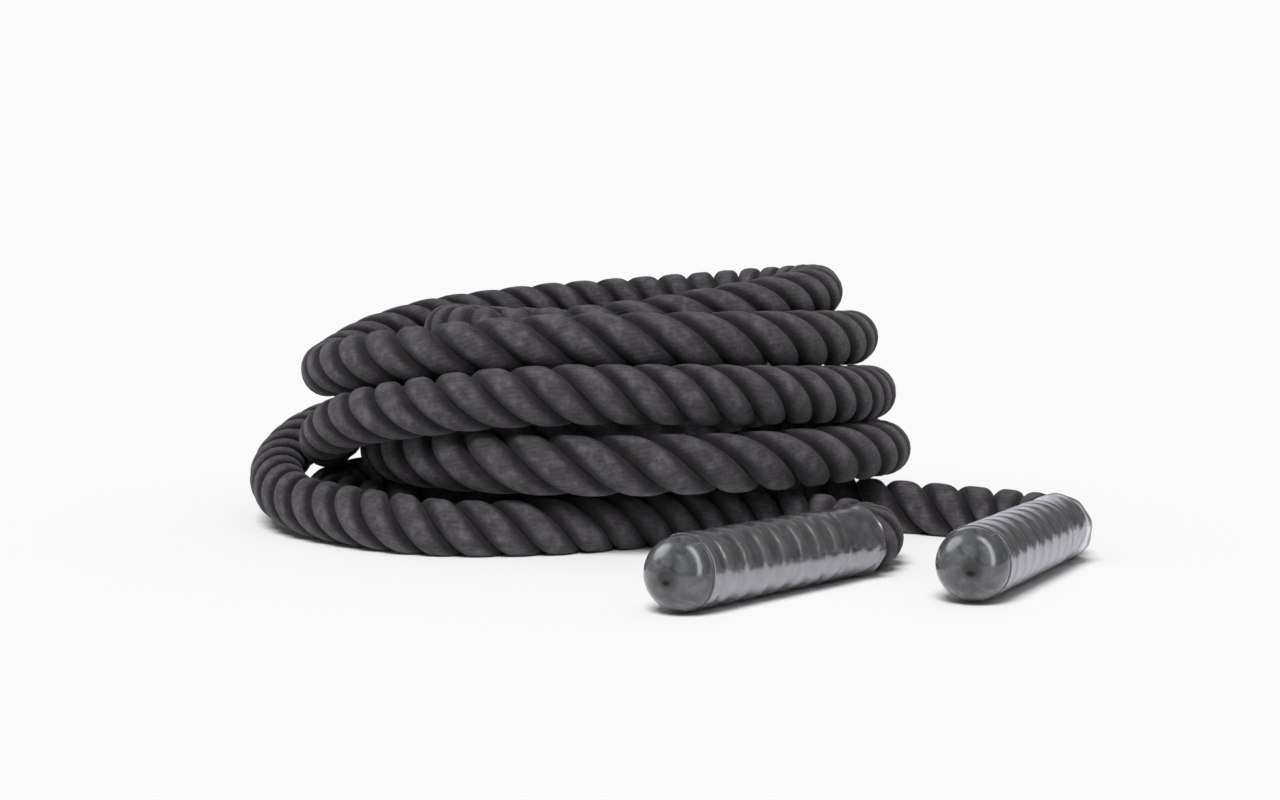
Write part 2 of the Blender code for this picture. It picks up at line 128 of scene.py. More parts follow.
# Spun strands are slightly thicker and thinner by turns: by what share of a strand, and how often.
STRAND_UNEVEN_SHARE = 0.035
STRAND_UNEVEN_LENGTH = 0.061
STRAND_SIDES = 12
RING_STEP = 0.0034
# How gently the flattened underside curves up from the floor.
FLOOR_SOFTNESS = 0.0010


def station_value(quarter, column):
    """Smooth curve through the stations: a cubic with its slopes taken from the neighbours."""
    table = COIL_STATION_SHARES
    last_span = len(table) - 2
    index = 0
    while index < last_span and table[index + 1][0] <= quarter:
        index += 1
    before = table[max(index - 1, 0)]
    here = table[index]
    there = table[index + 1]
    after = table[min(index + 2, last_span + 1)]
    span = there[0] - here[0]
    t = (quarter - here[0]) / span
    slope_here = (there[column] - before[column]) / (there[0] - before[0]) * span
    slope_there = (after[column] - here[column]) / (after[0] - here[0]) * span
    value = (2 * t ** 3 - 3 * t ** 2 + 1) * here[column]
    value += (t ** 3 - 2 * t ** 2 + t) * slope_here
    value += (3 * t ** 2 - 2 * t ** 3) * there[column]
    value += (t ** 3 - t ** 2) * slope_there
    return value


def coil_point(quarter):
    reach = station_value(quarter, 1) * ROPE_DIAMETER
    height = station_value(quarter, 2) * ROPE_DIAMETER
    angle = quarter * math.pi / 2
    return Vector((-reach * math.sin(angle), -reach * math.cos(angle), height))


def coil_turns():
    step = 4 / LOOP_POINTS
    count = round((LAST_QUARTER - FIRST_QUARTER) / step)
    return [coil_point(FIRST_QUARTER + step * index) for index in range(count + 1)]


def floor_points(route_shares):
    points = []
    for x, y, rise in route_shares:
        points.append(Vector((x, y, rise)) * ROPE_DIAMETER + Vector((0, 0, FLOOR_HEIGHT)))
    return points


def along(place_shares, heading, distance, height):
    """The point at a distance from a place, in the heading's direction."""
    x = place_shares[0] * ROPE_DIAMETER + distance * math.cos(heading)
    y = place_shares[1] * ROPE_DIAMETER + distance * math.sin(heading)
    return Vector((x, y, height))


def join_points(place_shares, heading):
    """Four points in line: short of the join, the join, a diameter on, and a little past that."""
    run = STRAIGHT_SHARE * ROPE_DIAMETER
    spare = STRAIGHT_SPARE_SHARE * ROPE_DIAMETER
    distances = (-spare, 0, run, run + spare)
    return [along(place_shares, heading, distance, FLOOR_HEIGHT) for distance in distances]


def mouth_points(letter):
    """Two points on the grip's axis: at its mouth, and where the rope may bend."""
    heading = GRIP_HEADINGS[letter]
    distances = (0, MOUTH_STRAIGHT)
    return [along(MOUTH_SHARES[letter], heading, distance, GRIP_HEIGHT) for distance in distances]


def smooth_curve(points):
    """Centripetal Catmull-Rom curve through the points."""
    ends = [2 * points[0] - points[1]] + points + [2 * points[-1] - points[-2]]
    curve = []
    for p0, p1, p2, p3 in zip(ends, ends[1:], ends[2:], ends[3:]):
        t1 = math.sqrt((p1 - p0).length)
        t2 = t1 + math.sqrt((p2 - p1).length)
        t3 = t2 + math.sqrt((p3 - p2).length)
        for step in range(CURVE_STEPS):
            t = t1 + (t2 - t1) * step / CURVE_STEPS
            a1 = p0 * ((t1 - t) / t1) + p1 * (t / t1)
            a2 = p1 * ((t2 - t) / (t2 - t1)) + p2 * ((t - t1) / (t2 - t1))
            a3 = p2 * ((t3 - t) / (t3 - t2)) + p3 * ((t - t2) / (t3 - t2))
            b1 = a1 * ((t2 - t) / t2) + a2 * (t / t2)
            b2 = a2 * ((t3 - t) / (t3 - t1)) + a3 * ((t - t1) / (t3 - t1))
            curve.append(b1 * ((t2 - t) / (t2 - t1)) + b2 * ((t - t1) / (t2 - t1)))
    curve.append(points[-1])
    return curve


def even_points(curve, step):
    """Places at even distances along the curve, and how far along it each one is."""
    places = np.array(curve)
    lengths = np.linalg.norm(np.diff(places, axis=0), axis=1)
    travelled = np.concatenate([[0], np.cumsum(lengths)])
    count = max(round(travelled[-1] / step), 1)
    wanted = np.linspace(0, travelled[-1], count + 1)
    columns = [np.interp(wanted, travelled, places[:, axis]) for axis in range(3)]
    return np.stack(columns, axis=1), wanted


def carried_frames(places):
    """Two directions across the path at each place, carried along it without turning about it."""
    forward = np.gradient(places, axis=0)
    forward /= np.linalg.norm(forward, axis=1)[:, None]
    side = np.cross(forward[0], (0, 0, 1))
    sides = []
    for direction in forward:
        side = side - direction * (side @ direction)
        side = side / np.linalg.norm(side)
        sides.append(side)
    sides = np.array(sides)
    return sides, np.cross(sides, forward)


def strand_turns(travelled):
    """How far the strands have turned round the rope at each place, in radians."""
    distances, lays = np.array(LAY_STATION_SHARES).T
    lay_lengths = np.interp(travelled / ROPE_DIAMETER, distances, lays) * ROPE_DIAMETER
    rounds = np.concatenate([[0], np.cumsum(np.diff(travelled) / lay_lengths[1:])])
    return -2 * math.pi * rounds


def strand_skin(places, travelled, radius):
    """Rings of points round the rope, one ring at each place, which dip between its strands."""
    sides, ups = carried_frames(places)
    turns = strand_turns(travelled)
    columns = []
    for strand in range(STRAND_COUNT):
        middle = turns + 2 * math.pi * strand / STRAND_COUNT
        swell = 2 * math.pi * travelled / STRAND_UNEVEN_LENGTH
        swell = np.sin(swell + 2 * strand) * np.sin(swell / math.pi + strand)
        height = radius * STRAND_HEIGHT_SHARE * (1 + STRAND_UNEVEN_SHARE * swell)
        for step in range(STRAND_SIDES):
            local = HALF_OPEN * (2 * step / STRAND_SIDES - 1)
            out = radius * STRAND_OFFSET_SHARE + height * math.cos(local)
            beside = radius * STRAND_WIDTH_SHARE * math.sin(local)
            across = out * np.cos(middle) - beside * np.sin(middle)
            up = out * np.sin(middle) + beside * np.cos(middle)
            columns.append(places + sides * across[:, None] + ups * up[:, None])
    skin = np.stack(columns, axis=1)
    # Where the rope lies on the floor its strands are pressed flat.
    skin[:, :, 2] = (skin[:, :, 2] + np.sqrt(skin[:, :, 2] ** 2 + FLOOR_SOFTNESS ** 2)) / 2
    return skin


def laid_rope(name, places, travelled, radius):
    """Three-strand rope along the places, as one closed skin with a map of its lay."""
    skin = strand_skin(places, travelled, radius)
    rings, round_count = skin.shape[:2]
    faces = []
    corners = []
    strand_arc = radius * STRAND_ARC_SHARE
    for ring in range(rings - 1):
        for column in range(round_count):
            other = (column + 1) % round_count
            here = ring * round_count
            there = here + round_count
            faces.append((here + column, here + other, there + other, there + column))
            start = strand_arc * (2 * (column % STRAND_SIDES) / STRAND_SIDES - 1)
            end = start + strand_arc * 2 / STRAND_SIDES
            low = travelled[ring]
            high = travelled[ring + 1]
            corners += [(start, low), (end, low), (end, high), (start, high)]
    last = (rings - 1) * round_count
    faces.append(tuple(range(round_count))[::-1])
    faces.append(tuple(range(last, last + round_count)))
    corners += [(0.0, 0.0)] * (2 * round_count)
    mesh = bpy.data.meshes.new(name)
    mesh.from_pydata([tuple(point) for point in skin.reshape(-1, 3)], [], faces)
    # Across a strand from its crown, and along the rope, both in metres.
    lay_map = mesh.uv_layers.new(name="lay")
    lay_map.data.foreach_set("uv", np.array(corners, dtype=np.float32).ravel())
    mesh.update()
    mesh.shade_smooth()
    piece = bpy.data.objects.new(name, mesh)
    bpy.context.collection.objects.link(piece)
    return piece


def linear(code):
    """Linear colour with alpha from an sRGB hex code."""
    parts = [int(code[start:start + 2], 16) / 255 for start in (1, 3, 5)]
    values = [part / 12.92 if part <= 0.04045 else ((part + 0.055) / 1.055) ** 2.4 for part in parts]
    return (*values, 1)


def add_node(tree, kind, inputs=None, **settings):
    """Add a node with its settings. An input is a value, or another node's output to link."""
    added = tree.nodes.new(kind)
    for key, value in settings.items():
        setattr(added, key, value)
    for key, value in (inputs or {}).items():
        if isinstance(value, bpy.types.NodeSocket):
            tree.links.new(value, added.inputs[key])
        else:
            added.inputs[key].default_value = value
    return added


def new_material(name):
    """A new material with its Principled shader, and its tree."""
    finish = bpy.data.materials.new(name)
    finish.use_nodes = True
    return finish, finish.node_tree, finish.node_tree.nodes["Principled BSDF"]


def wear(piece, finish):
    piece.data.materials.clear()
    piece.data.materials.append(finish)


# Spun staple yarn is dull, and its many fibre ends scatter light at the edges like a short pile.
laid_yarn, tree, shader = new_material("laid_polyester_yarn")
YARN_WIDTH = 0.0030
# The yarns run back against the strands' turn, so that they lie nearly along the rope.
YARN_SLANT = -1.35
# A yarn strays sideways by this much, over this length.
YARN_WANDER = 0.0024
WANDER_LENGTH = 0.018
# Tufts of fibre ends, and the patches in which they are rubbed pale.
FIBRE_TUFT = 0.0028
RUBBED_PATCH = 0.009
YARN_RELIEF = 0.0004
TUFT_RELIEF = 0.0012
STRAND_ARC = STRAND_ARC_SHARE * ROPE_RADIUS
# How far from a strand's crown the painted shade of the groove starts, and where it is full.
SHADE_START = 0.20 * STRAND_ARC
SHADE_FULL = 0.70 * STRAND_ARC
uv = add_node(tree, "ShaderNodeUVMap", uv_map="lay")
split = add_node(tree, "ShaderNodeSeparateXYZ", {0: uv.outputs["UV"]})
slanted = add_node(tree, "ShaderNodeMath",
                   {0: split.outputs["Y"], 1: YARN_SLANT, 2: split.outputs["X"]},
                   operation="MULTIPLY_ADD")
place = add_node(tree, "ShaderNodeTexCoord")
wander = add_node(tree, "ShaderNodeTexNoise",
                  {"Vector": place.outputs["Object"], "Scale": 1 / WANDER_LENGTH, "Detail": 2.0})
wandering = add_node(tree, "ShaderNodeMath",
                     {0: wander.outputs["Fac"], 1: YARN_WANDER, 2: slanted.outputs[0]},
                     operation="MULTIPLY_ADD")
yarn_phase = add_node(tree, "ShaderNodeMath", {0: wandering.outputs[0], 1: math.pi / YARN_WIDTH},
                      operation="MULTIPLY")
yarn_wave = add_node(tree, "ShaderNodeMath", {0: yarn_phase.outputs[0]}, operation="SINE")
yarn_round = add_node(tree, "ShaderNodeMath", {0: yarn_wave.outputs[0]}, operation="ABSOLUTE")
fibre = add_node(tree, "ShaderNodeTexNoise",
                 {"Vector": place.outputs["Object"], "Scale": 1 / FIBRE_TUFT, "Detail": 5.0,
                  "Roughness": 0.7})
blotch = add_node(tree, "ShaderNodeTexNoise",
                  {"Vector": place.outputs["Object"], "Scale": 1 / RUBBED_PATCH, "Detail": 3.0,
                   "Roughness": 0.6})
# From the valley between two yarns, painted darker as the shade that falls there, to a yarn's crown; then
# rubbed fibre ends in patches.
yarn_shaded_colour = add_node(tree, "ShaderNodeMix",
                       {"Factor": yarn_round.outputs[0], "A": linear("#39363a"), "B": linear("#434044")},
                       data_type="RGBA")
worn_level = add_node(tree, "ShaderNodeMapRange",
                      {"Value": blotch.outputs["Fac"], "From Min": 0.42, "From Max": 0.70,
                       "To Max": 0.75})
worn_colour = add_node(tree, "ShaderNodeMix",
                       {"Factor": worn_level.outputs[0], "A": yarn_shaded_colour.outputs["Result"],
                        "B": linear("#625f65")},
                       data_type="RGBA")
# Painted shade: the flanks towards the grooves are coloured darker, as the shade that falls between the
# strands.
from_crown = add_node(tree, "ShaderNodeMath", {0: split.outputs["X"]}, operation="ABSOLUTE")
groove_shade_mask = add_node(tree, "ShaderNodeMapRange",
                     {"Value": from_crown.outputs[0], "From Min": SHADE_START,
                      "From Max": SHADE_FULL, "To Max": 0.9},
                     interpolation_type="SMOOTHSTEP")
groove_painted_shade_colour = add_node(tree, "ShaderNodeMix",
                         {"Factor": groove_shade_mask.outputs[0], "A": worn_colour.outputs["Result"],
                          "B": linear("#181618")},
                         data_type="RGBA")
fibre_level = add_node(tree, "ShaderNodeMapRange",
                       {"Value": fibre.outputs["Fac"], "From Min": 0.3, "From Max": 0.7,
                        "To Min": 0.72, "To Max": 1.28})
fibre_colour = add_node(tree, "ShaderNodeVectorMath",
                        {0: groove_painted_shade_colour.outputs["Result"], "Scale": fibre_level.outputs[0]},
                        operation="SCALE")
tree.links.new(fibre_colour.outputs[0], shader.inputs["Base Color"])
shader.inputs["Roughness"].default_value = 0.88
shader.inputs["Sheen Weight"].default_value = 0.06
shader.inputs["Sheen Roughness"].default_value = 0.5
yarn_bump = add_node(tree, "ShaderNodeBump",
                     {"Height": yarn_round.outputs[0], "Distance": YARN_RELIEF, "Strength": 0.35})
fibre_bump = add_node(tree, "ShaderNodeBump",
                      {"Height": fibre.outputs["Fac"], "Distance": TUFT_RELIEF, "Strength": 0.6,
                       "Normal": yarn_bump.outputs["Normal"]})
tree.links.new(fibre_bump.outputs["Normal"], shader.inputs["Normal"])

mouth_a = mouth_points("a")
mouth_b = mouth_points("b")
route = mouth_a + floor_points(TAIL_A_ROUTE_SHARES)
route += join_points(JOIN_A_SHARES, JOIN_A_HEADING) + floor_points(PILE_LEAD_A_SHARES)
route += coil_turns() + floor_points(PILE_LEAD_B_SHARES)
route += join_points(JOIN_B_SHARES, JOIN_B_HEADING)[::-1] + floor_points(TAIL_B_ROUTE_SHARES[::-1])
route += mouth_b[::-1]
rope_places, rope_travelled = even_points(smooth_curve([PILE_CENTRE + point for point in route]), RING_STEP)
rope = laid_rope("rope", rope_places, rope_travelled, ROPE_RADIUS)
wear(rope, laid_yarn)
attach(rope, "root")
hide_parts("rope_coil", "rope_tail_a", "rope_tail_b")

# The rope's ends inside the grips.
# The same rope, whose strands the sleeve presses closer together. The real ends are cut with a hot
# knife and stop against the cap's spigot.
# Lengths along the grip are counted from the middle of its dome.
GRIP_LENGTH = 0.122
CAP_RIM = 0.004
SPIGOT_LENGTH = 0.012
SPIGOT_END = CAP_RIM + SPIGOT_LENGTH
# The gap left between two pieces that touch.
PIECE_GAP = 0.0003
ROPE_END_SHARE = 0.895
ROPE_END_RADIUS = ROPE_END_SHARE * ROPE_RADIUS


def grip_point(letter, distance):
    """A point on a grip's axis, at a distance from the middle of its dome."""
    from_mouth = distance - GRIP_LENGTH
    return PILE_CENTRE + along(MOUTH_SHARES[letter], GRIP_HEADINGS[letter], from_mouth, GRIP_HEIGHT)


for letter in ("a", "b"):
    ends = [grip_point(letter, SPIGOT_END + PIECE_GAP), grip_point(letter, GRIP_LENGTH)]
    end_places, end_travelled = even_points(ends, RING_STEP)
    rope_end = laid_rope("pressed_rope_end_" + letter, end_places, end_travelled, ROPE_END_RADIUS)
    wear(rope_end, laid_yarn)
    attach(rope_end, "root")
    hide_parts("rope_end_" + letter)

# The whippings.
# Black cloth tape, wound tight round each cut end of the rope so that its strands can't open. It is
# a rubber-coated cotton weave, and it lies inside the grip.
cloth_tape, tree, shader = new_material("coated_cotton_tape")
# The weave is drawn at 1.2 mm, coarser than the real 0.5 mm, so that it shows.
TAPE_THREAD = 0.0012
TAPE_RELIEF = 0.0002
# A wave texture of scale 1 repeats this many times in a metre.
WAVE_REPEATS = 20 / (2 * math.pi)
place = add_node(tree, "ShaderNodeTexCoord")
warp = add_node(tree, "ShaderNodeTexWave",
                {"Vector": place.outputs["Object"], "Scale": 1 / (WAVE_REPEATS * TAPE_THREAD),
                 "Distortion": 0.4},
                wave_type="BANDS", bands_direction="Z")
weft = add_node(tree, "ShaderNodeTexWave",
                {"Vector": place.outputs["Object"], "Scale": 1 / (WAVE_REPEATS * TAPE_THREAD),
                 "Distortion": 0.4},
                wave_type="BANDS", bands_direction="X")
weave = add_node(tree, "ShaderNodeMath", {0: warp.outputs["Fac"], 1: weft.outputs["Fac"]},
                 operation="MULTIPLY")
tape_colour = add_node(tree, "ShaderNodeMix",
                       {"Factor": weave.outputs[0], "A": linear("#1c1c1d"), "B": linear("#343335")},
                       data_type="RGBA")
tree.links.new(tape_colour.outputs["Result"], shader.inputs["Base Color"])
shader.inputs["Roughness"].default_value = 0.55
tape_bump = add_node(tree, "ShaderNodeBump",
                     {"Height": weave.outputs[0], "Distance": TAPE_RELIEF, "Strength": 0.7})
tree.links.new(tape_bump.outputs["Normal"], shader.inputs["Normal"])
for letter in ("a", "b"):
    wear(bpy.data.objects["end_whipping_" + letter], cloth_tape)

# The glue liners.
# Hot-melt adhesive, poured between sleeve and rope end and set in a thin even wall. It is a cloudy
# amber ethylene copolymer with small air bubbles.
hot_melt, tree, shader = new_material("hot_melt_adhesive")
CLOUD_SIZE = 0.008
BUBBLE_SPACING = 0.003
BUBBLE_RELIEF = 0.0002
GLUE_GLOW_DEPTH = 0.001
place = add_node(tree, "ShaderNodeTexCoord")
cloud = add_node(tree, "ShaderNodeTexNoise",
                 {"Vector": place.outputs["Object"], "Scale": 1 / CLOUD_SIZE, "Detail": 3.0})
bubbles = add_node(tree, "ShaderNodeTexVoronoi",
                   {"Vector": place.outputs["Object"], "Scale": 1 / BUBBLE_SPACING})
glue_colour = add_node(tree, "ShaderNodeMix",
                       {"Factor": cloud.outputs["Fac"], "A": linear("#c7b285"), "B": linear("#dccda6")},
                       data_type="RGBA")
tree.links.new(glue_colour.outputs["Result"], shader.inputs["Base Color"])
shader.inputs["Roughness"].default_value = 0.35
shader.inputs["Subsurface Weight"].default_value = 0.2
shader.inputs["Subsurface Scale"].default_value = GLUE_GLOW_DEPTH
glue_bump = add_node(tree, "ShaderNodeBump",
                     {"Height": bubbles.outputs["Distance"], "Distance": BUBBLE_RELIEF, "Strength": 0.5})
tree.links.new(glue_bump.outputs["Normal"], shader.inputs["Normal"])
for letter in ("a", "b"):
    wear(bpy.data.objects["glue_liner_" + letter], hot_melt)

# The grip sleeves.
# Each is a tube of black natural rubber with seven rounded ribs for the hand, moulded in two halves
# and glued over the rope's end. The mould leaves a thin flash line along each side.
LINER_WALL = 0.0007
SLEEVE_BORE_RADIUS = ROPE_END_RADIUS + PIECE_GAP + LINER_WALL + PIECE_GAP
SLEEVE_WALL = 0.0009
GROOVE_RADIUS = SLEEVE_BORE_RADIUS + SLEEVE_WALL
RIB_HEIGHT = 0.0011
RIB_RADIUS = GROOVE_RADIUS + RIB_HEIGHT
RIB_COUNT = 7
RIB_HALF_WIDTH_SHARE = 0.26
# A power of 2 would make a rib's outline an ellipse, and a higher one makes it fuller.
RIB_FULLNESS = 2.4
COLLAR_LENGTH = 0.004
SLEEVE_START = CAP_RIM + PIECE_GAP
COLLAR_END = SLEEVE_START + COLLAR_LENGTH
RIB_PITCH = (GRIP_LENGTH - COLLAR_END) / RIB_COUNT
SLEEVE_STEP = 0.0005
GRIP_SIDES = 96
FLASH_SIDE = GRIP_SIDES // 8
FLASH_HEIGHT = 0.00012
EDGE_RADIUS = 0.0005


def round_ring(distance, radius):
    """A ring about the grip's axis. Its radius is one number, or one for each side."""
    angles = 2 * np.pi * np.arange(GRIP_SIDES) / GRIP_SIDES
    across = radius * np.cos(angles)
    up = radius * np.sin(angles)
    return np.stack([np.full(GRIP_SIDES, distance), across, up], axis=1)


def ringed_skin(name, rings, closed, letter):
    """Closed skin over a row of rings, laid on a grip's axis: a wall, or a body with two ends."""
    mesh = bpy.data.meshes.new(name)
    form = bmesh.new()
    loops = [[form.verts.new(tuple(point)) for point in ring] for ring in rings]
    pairs = list(zip(loops, loops[1:]))
    if closed:
        pairs.append((loops[-1], loops[0]))
    else:
        form.faces.new(loops[0])
        form.faces.new(loops[-1])
    for near, far in pairs:
        for side in range(GRIP_SIDES):
            other = (side + 1) % GRIP_SIDES
            form.faces.new([near[side], near[other], far[other], far[side]])
    bmesh.ops.recalc_face_normals(form, faces=form.faces)
    form.to_mesh(mesh)
    form.free()
    mesh.shade_smooth()
    piece = bpy.data.objects.new(name, mesh)
    place = Matrix.Translation(grip_point(letter, 0))
    piece.matrix_world = place @ Matrix.Rotation(GRIP_HEADINGS[letter], 4, "Z")
    bpy.context.collection.objects.link(piece)
    return piece


def rib_share(distance):
    """How much of a rib's height the sleeve has at this distance: one full half-round a pitch."""
    if distance < COLLAR_END:
        return 1.0
    along_pitch = (distance - COLLAR_END) / RIB_PITCH % 1
    from_middle = abs(along_pitch - 0.5) / RIB_HALF_WIDTH_SHARE
    rib = math.sqrt(max(1 - from_middle ** RIB_FULLNESS, 0))
    # The collar falls to the first groove in a fillet as wide as a rib is high.
    collar = max(1 - (distance - COLLAR_END) / RIB_HEIGHT, 0)
    return max(rib, collar)


def sleeve_rings():
    """The sleeve's outer skin with its ribs and mould line, and its bore."""
    count = round((GRIP_LENGTH - SLEEVE_START) / SLEEVE_STEP)
    distances = np.linspace(SLEEVE_START, GRIP_LENGTH, count + 1)
    shares = np.array([rib_share(distance) for distance in distances])
    # Every edge in the mould is rounded, so each step is averaged with its neighbours.
    padded = np.concatenate([shares[:1], shares, shares[-1:]])
    shares = (padded[:-2] + 2 * padded[1:-1] + padded[2:]) / 4
    flash = np.zeros(GRIP_SIDES)
    flash[FLASH_SIDE] = FLASH_HEIGHT
    flash[FLASH_SIDE + GRIP_SIDES // 2] = FLASH_HEIGHT
    rings = [round_ring(SLEEVE_START, SLEEVE_BORE_RADIUS)]
    rings.append(round_ring(SLEEVE_START, RIB_RADIUS - EDGE_RADIUS))
    for distance, share in zip(distances[1:-1], shares[1:-1]):
        rings.append(round_ring(distance, GROOVE_RADIUS + RIB_HEIGHT * share + flash))
    rings.append(round_ring(GRIP_LENGTH, GROOVE_RADIUS - EDGE_RADIUS / 2))
    rings.append(round_ring(GRIP_LENGTH, SLEEVE_BORE_RADIUS))
    return rings


# Natural rubber from a sand-blasted mould: dark, slightly green, with a dull grain, and smoother where ribs
# have rubbed. Its colour is paler on the rib crests, partly from rubbing and partly as a painted highlight,
# and near black in the grooves as painted shade.
moulded_rubber, tree, shader = new_material("moulded_natural_rubber")
MOULD_GRAIN = 0.0006
GRAIN_RELIEF = 0.0001
BLOOM_PATCH = 0.012
place = add_node(tree, "ShaderNodeTexCoord")
cross_place = add_node(tree, "ShaderNodeVectorMath", {0: place.outputs["Object"], 1: (0, 1, 1)},
                       operation="MULTIPLY")
reach = add_node(tree, "ShaderNodeVectorMath", {0: cross_place.outputs[0]}, operation="LENGTH")
# Paler towards the rib crests and darker towards the grooves: rubbing, with a painted highlight on the
# crests and painted shade in the grooves.
rib_wear_and_painted_light = add_node(tree, "ShaderNodeMapRange",
                  {"Value": reach.outputs["Value"], "From Min": GROOVE_RADIUS,
                   "From Max": RIB_RADIUS},
                  interpolation_type="SMOOTHSTEP")
grain = add_node(tree, "ShaderNodeTexNoise",
                 {"Vector": place.outputs["Object"], "Scale": 1 / MOULD_GRAIN, "Detail": 3.0})
bloom = add_node(tree, "ShaderNodeTexNoise",
                 {"Vector": place.outputs["Object"], "Scale": 1 / BLOOM_PATCH, "Detail": 4.0,
                  "Roughness": 0.6})
rib_wear_and_shade_colour = add_node(tree, "ShaderNodeMix",
                      {"Factor": rib_wear_and_painted_light.outputs[0], "A": linear("#191a18"), "B": linear("#5e5f5a")},
                      data_type="RGBA")
bloom_level = add_node(tree, "ShaderNodeMapRange",
                       {"Value": bloom.outputs["Fac"], "From Min": 0.3, "From Max": 0.7,
                        "To Min": 0.8, "To Max": 1.25})
rubber_colour = add_node(tree, "ShaderNodeVectorMath",
                         {0: rib_wear_and_shade_colour.outputs["Result"], "Scale": bloom_level.outputs[0]},
                         operation="SCALE")
tree.links.new(rubber_colour.outputs[0], shader.inputs["Base Color"])
rubber_roughness = add_node(tree, "ShaderNodeMapRange",
                            {"Value": bloom.outputs["Fac"], "To Min": 0.62, "To Max": 0.45})
tree.links.new(rubber_roughness.outputs[0], shader.inputs["Roughness"])
rubber_bump = add_node(tree, "ShaderNodeBump",
                       {"Height": grain.outputs["Fac"], "Distance": GRAIN_RELIEF, "Strength": 0.6})
tree.links.new(rubber_bump.outputs["Normal"], shader.inputs["Normal"])
for letter in ("a", "b"):
    sleeve = ringed_skin("ribbed_sleeve_" + letter, sleeve_rings(), True, letter)
    wear(sleeve, moulded_rubber)
    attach(sleeve, "root")
    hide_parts("grip_sleeve_" + letter)

# The end caps.
# Each is a domed plug of grey synthetic rubber, moulded in one piece with a spigot that is glued into
# the sleeve. A shallow dimple near the middle of the dome is where the rubber entered the mould.
SPIGOT_RADIUS = SLEEVE_BORE_RADIUS - PIECE_GAP
DOME_STEPS = 40
DIMPLE_RADIUS = 0.0070
DIMPLE_DEPTH = 0.0013
# The colour is darkest in the dimple's middle, and is back to full a little past its edge.
DIMPLE_DARK_FULL = 0.4 * DIMPLE_RADIUS
DIMPLE_DARK_END = 1.2 * DIMPLE_RADIUS
# The dimple lies a little off the grip's axis, to the right for someone who faces the dome.
DIMPLE_TURN = math.radians(15)
DIMPLE_PLACE = (-RIB_RADIUS * math.cos(DIMPLE_TURN), -RIB_RADIUS * math.sin(DIMPLE_TURN), 0)
POLE_RADIUS = 0.0002
CAP_LINE_DEPTH = 0.00025
CAP_LINE_PLACE = 0.0012
CAP_LINE_HALF_WIDTH = 0.00036
# The middle of a rounded edge's arc lies this far inside its corner.
EDGE_INSET = 0.3 * EDGE_RADIUS


def cap_rings():
    """The dome with its dimple, the mould line, and the spigot."""
    rings = [round_ring(-RIB_RADIUS, POLE_RADIUS)]
    for step in range(1, DOME_STEPS + 1):
        angle = math.pi / 2 * step / DOME_STEPS
        rings.append(round_ring(-RIB_RADIUS * math.cos(angle), RIB_RADIUS * math.sin(angle)))
    for ring in rings:
        from_dimple = np.linalg.norm(ring - DIMPLE_PLACE, axis=1)
        dip = DIMPLE_DEPTH * (1 + np.cos(np.pi * np.minimum(from_dimple / DIMPLE_RADIUS, 1))) / 2
        ring *= (1 - dip / RIB_RADIUS)[:, None]
    # The two halves of the mould met just behind the dome, in a fine line.
    rings.append(round_ring(CAP_LINE_PLACE - CAP_LINE_HALF_WIDTH, RIB_RADIUS))
    rings.append(round_ring(CAP_LINE_PLACE, RIB_RADIUS - CAP_LINE_DEPTH))
    rings.append(round_ring(CAP_LINE_PLACE + CAP_LINE_HALF_WIDTH, RIB_RADIUS))
    rings.append(round_ring(CAP_RIM - EDGE_RADIUS, RIB_RADIUS))
    rings.append(round_ring(CAP_RIM - EDGE_INSET, RIB_RADIUS - EDGE_INSET))
    rings.append(round_ring(CAP_RIM, RIB_RADIUS - EDGE_RADIUS))
    rings.append(round_ring(CAP_RIM, SPIGOT_RADIUS))
    rings.append(round_ring(SPIGOT_END, SPIGOT_RADIUS))
    return rings


# Chloroprene rubber from a polished mould: a soft even gloss, with faint flow marks.
polished_rubber, tree, shader = new_material("moulded_chloroprene_rubber")
FLOW_MARK = 0.011
SPECK_SIZE = 0.0012
SPECK_RELIEF = 0.00006
place = add_node(tree, "ShaderNodeTexCoord")
flow = add_node(tree, "ShaderNodeTexNoise",
                {"Vector": place.outputs["Object"], "Scale": 1 / FLOW_MARK, "Detail": 3.0,
                 "Distortion": 1.2})
speck = add_node(tree, "ShaderNodeTexNoise",
                 {"Vector": place.outputs["Object"], "Scale": 1 / SPECK_SIZE, "Detail": 2.0})
flow_level = add_node(tree, "ShaderNodeMapRange",
                      {"Value": flow.outputs["Fac"], "From Min": 0.35, "From Max": 0.65})
cap_colour = add_node(tree, "ShaderNodeMix",
                      {"Factor": flow_level.outputs[0], "A": linear("#414346"), "B": linear("#646569")},
                      data_type="RGBA")
# The colour is darkened in and just around the dimple.
from_dimple = add_node(tree, "ShaderNodeVectorMath",
                       {0: place.outputs["Object"], 1: DIMPLE_PLACE}, operation="DISTANCE")
dimple_level = add_node(tree, "ShaderNodeMapRange",
                        {"Value": from_dimple.outputs["Value"], "From Min": DIMPLE_DARK_FULL,
                         "From Max": DIMPLE_DARK_END, "To Min": 0.12},
                        interpolation_type="SMOOTHSTEP")
dome_colour = add_node(tree, "ShaderNodeVectorMath",
                       {0: cap_colour.outputs["Result"], "Scale": dimple_level.outputs[0]},
                       operation="SCALE")
tree.links.new(dome_colour.outputs[0], shader.inputs["Base Color"])
cap_roughness = add_node(tree, "ShaderNodeMapRange",
                         {"Value": flow.outputs["Fac"], "To Min": 0.18, "To Max": 0.34})
tree.links.new(cap_roughness.outputs[0], shader.inputs["Roughness"])
shader.inputs["Specular IOR Level"].default_value = 0.35
shader.inputs["Coat Weight"].default_value = 0.7
shader.inputs["Coat Roughness"].default_value = 0.12
